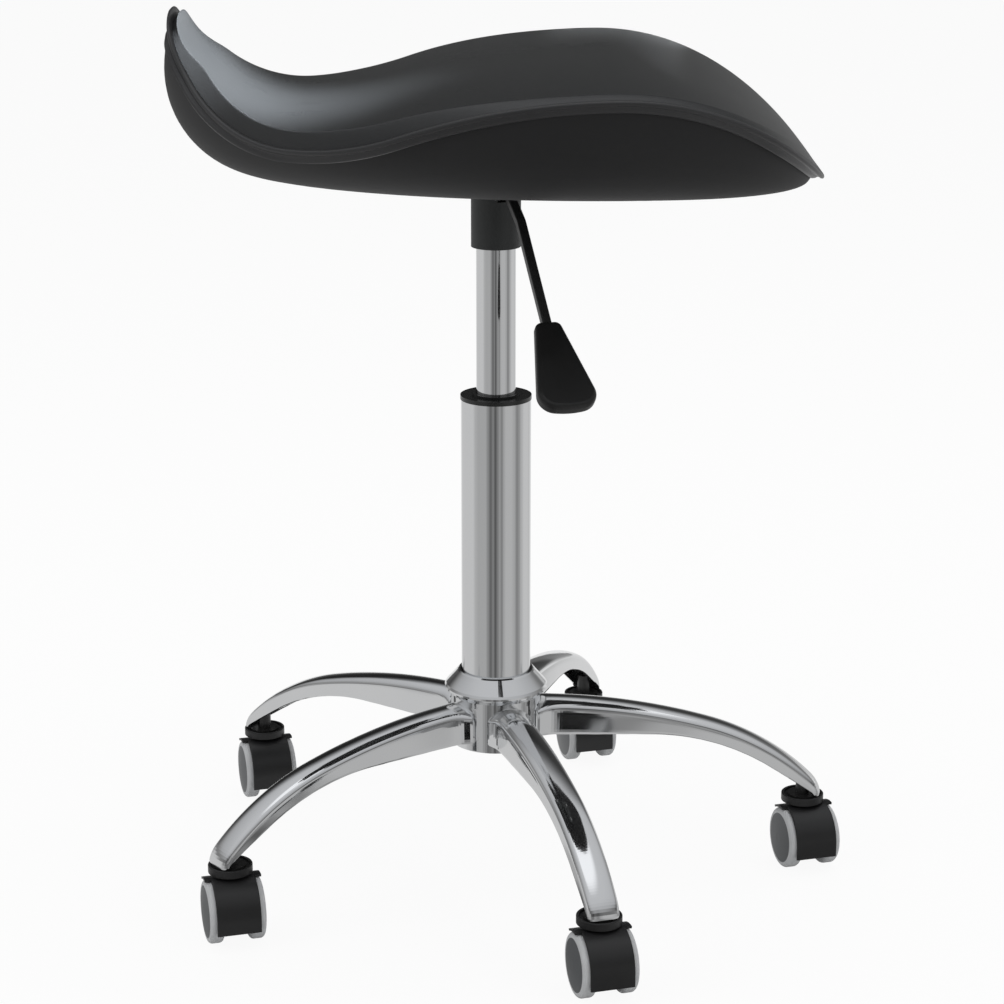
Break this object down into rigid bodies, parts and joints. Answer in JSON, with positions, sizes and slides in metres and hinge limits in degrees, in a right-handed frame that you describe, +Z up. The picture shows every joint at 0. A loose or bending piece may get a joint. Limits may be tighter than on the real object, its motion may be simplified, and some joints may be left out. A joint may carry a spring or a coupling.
{
  "type": "salon stool",
  "caption": "Rolling salon stool with a waved saddle seat on a gas lift, a height lever, a plated star base and hooded twin-wheel swivel casters.",
  "frame": {"origin": "on the floor, on the axis of the column and seat swivel", "axes": "+Z up along the column, +X along the seat from its raised rear tip to its falling front edge, -Y towards the side that the height lever leaves from"},
  "size_m": [0.48, 0.4851, 0.623],
  "materials": {
    "upholstery": "soft satin leather-look cover",
    "seat_shell": "matte moulded black",
    "timber": "sawn plywood",
    "black_steel": "black powder coat",
    "steel": "bright turned steel",
    "plating": "polished plating",
    "black_plastic": "satin black moulding",
    "wheel_grey": "satin mid-grey moulding",
    "soft_tread": "pale grey tread",
    "black_rubber": "moulded buffer"
  },
  "bodies": {
    "base": {"star_base": "plating", "caster_stems": "steel", "stand_tube": "plating", "guide_bush": "black_plastic", "bearing_lower_washer": "steel", "bearing_balls": "steel"},
    "lift_rod": {"piston_rod": "steel", "piston": "black_plastic", "bearing_upper_washer": "steel", "rod_buffer": "black_rubber", "retaining_clip": "steel"},
    "seat": {"pressure_tube": "plating", "rod_gland": "black_plastic", "socket_tube": "black_steel", "seat_plate": "black_steel", "seat_bolts": "steel", "seat_inserts": "steel", "seat_block": "timber", "seat_lower_cover": "seat_shell", "seat_pan": "seat_shell", "seat_cushion": "upholstery", "lever_pin": "steel"},
    "lever": {"lever_rod": "black_steel", "lever_paddle": "black_plastic"},
    "button": {"release_button": "steel"},
    "caster_1": {"caster_hood_1": "black_plastic", "caster_axle_1": "steel"},
    "caster_wheel_1_left": {"wheel_1_left": "wheel_grey", "tread_1_left": "soft_tread"},
    "caster_wheel_1_right": {"wheel_1_right": "wheel_grey", "tread_1_right": "soft_tread"},
    "caster_2": {"caster_hood_2": "black_plastic", "caster_axle_2": "steel"},
    "caster_wheel_2_left": {"wheel_2_left": "wheel_grey", "tread_2_left": "soft_tread"},
    "caster_wheel_2_right": {"wheel_2_right": "wheel_grey", "tread_2_right": "soft_tread"},
    "caster_3": {"caster_hood_3": "black_plastic", "caster_axle_3": "steel"},
    "caster_wheel_3_left": {"wheel_3_left": "wheel_grey", "tread_3_left": "soft_tread"},
    "caster_wheel_3_right": {"wheel_3_right": "wheel_grey", "tread_3_right": "soft_tread"},
    "caster_4": {"caster_hood_4": "black_plastic", "caster_axle_4": "steel"},
    "caster_wheel_4_left": {"wheel_4_left": "wheel_grey", "tread_4_left": "soft_tread"},
    "caster_wheel_4_right": {"wheel_4_right": "wheel_grey", "tread_4_right": "soft_tread"},
    "caster_5": {"caster_hood_5": "black_plastic", "caster_axle_5": "steel"},
    "caster_wheel_5_left": {"wheel_5_left": "wheel_grey", "tread_5_left": "soft_tread"},
    "caster_wheel_5_right": {"wheel_5_right": "wheel_grey", "tread_5_right": "soft_tread"}
  },
  "joints": [
    {"name": "seat_swivel", "type": "hinge", "parent": "base", "child": "lift_rod", "pos_m": [0, 0, 0.1], "axis": [0, 0, 1], "continuous": true},
    {"name": "seat_height", "type": "slide", "parent": "lift_rod", "child": "seat", "axis": [0, 0, 1], "range_m": [-0.095, 0]},
    {"name": "lever_lift", "type": "hinge", "parent": "seat", "child": "lever", "pos_m": [0.00702, -0.02295, 0.5045], "axis": [-0.9563, -0.2924, 0], "range_deg": [0, 6]},
    {"name": "button_press", "type": "slide", "parent": "seat", "child": "button", "axis": [0, 0, 1], "range_m": [-0.0026, 0]},
    {"name": "caster_swivel_1", "type": "hinge", "parent": "base", "child": "caster_1", "pos_m": [0.06858, -0.21618, 0.0475], "axis": [0, 0, 1], "continuous": true},
    {"name": "wheel_spin_1_left", "type": "hinge", "parent": "caster_1", "child": "caster_wheel_1_left", "pos_m": [0.07051, -0.22291, 0.0222], "axis": [0.9613, 0.2756, 0], "continuous": true},
    {"name": "wheel_spin_1_right", "type": "hinge", "parent": "caster_1", "child": "caster_wheel_1_right", "pos_m": [0.07051, -0.22291, 0.0222], "axis": [0.9613, 0.2756, 0], "continuous": true},
    {"name": "caster_swivel_2", "type": "hinge", "parent": "base", "child": "caster_2", "pos_m": [0.22679, -0.00158, 0.0475], "axis": [0, 0, 1], "continuous": true},
    {"name": "wheel_spin_2_left", "type": "hinge", "parent": "caster_2", "child": "caster_wheel_2_left", "pos_m": [0.22872, -0.00831, 0.0222], "axis": [0.9613, 0.2756, 0], "continuous": true},
    {"name": "wheel_spin_2_right", "type": "hinge", "parent": "caster_2", "child": "caster_wheel_2_right", "pos_m": [0.22872, -0.00831, 0.0222], "axis": [0.9613, 0.2756, 0], "continuous": true},
    {"name": "caster_swivel_3", "type": "hinge", "parent": "base", "child": "caster_3", "pos_m": [0.07159, 0.21521, 0.0475], "axis": [0, 0, 1], "continuous": true},
    {"name": "wheel_spin_3_left", "type": "hinge", "parent": "caster_3", "child": "caster_wheel_3_left", "pos_m": [0.07352, 0.20848, 0.0222], "axis": [0.9613, 0.2756, 0], "continuous": true},
    {"name": "wheel_spin_3_right", "type": "hinge", "parent": "caster_3", "child": "caster_wheel_3_right", "pos_m": [0.07352, 0.20848, 0.0222], "axis": [0.9613, 0.2756, 0], "continuous": true},
    {"name": "caster_swivel_4", "type": "hinge", "parent": "base", "child": "caster_4", "pos_m": [-0.18255, 0.13459, 0.0475], "axis": [0, 0, 1], "continuous": true},
    {"name": "wheel_spin_4_left", "type": "hinge", "parent": "caster_4", "child": "caster_wheel_4_left", "pos_m": [-0.18062, 0.12786, 0.0222], "axis": [0.9613, 0.2756, 0], "continuous": true},
    {"name": "wheel_spin_4_right", "type": "hinge", "parent": "caster_4", "child": "caster_wheel_4_right", "pos_m": [-0.18062, 0.12786, 0.0222], "axis": [0.9613, 0.2756, 0], "continuous": true},
    {"name": "caster_swivel_5", "type": "hinge", "parent": "base", "child": "caster_5", "pos_m": [-0.18441, -0.13203, 0.0475], "axis": [0, 0, 1], "continuous": true},
    {"name": "wheel_spin_5_left", "type": "hinge", "parent": "caster_5", "child": "caster_wheel_5_left", "pos_m": [-0.18248, -0.13875, 0.0222], "axis": [0.9613, 0.2756, 0], "continuous": true},
    {"name": "wheel_spin_5_right", "type": "hinge", "parent": "caster_5", "child": "caster_wheel_5_right", "pos_m": [-0.18248, -0.13875, 0.0222], "axis": [0.9613, 0.2756, 0], "continuous": true}
  ],
  "couplings": [
    {"joint": "button_press", "follows": "lever_lift", "m_per_rad": -0.024}
  ]
}
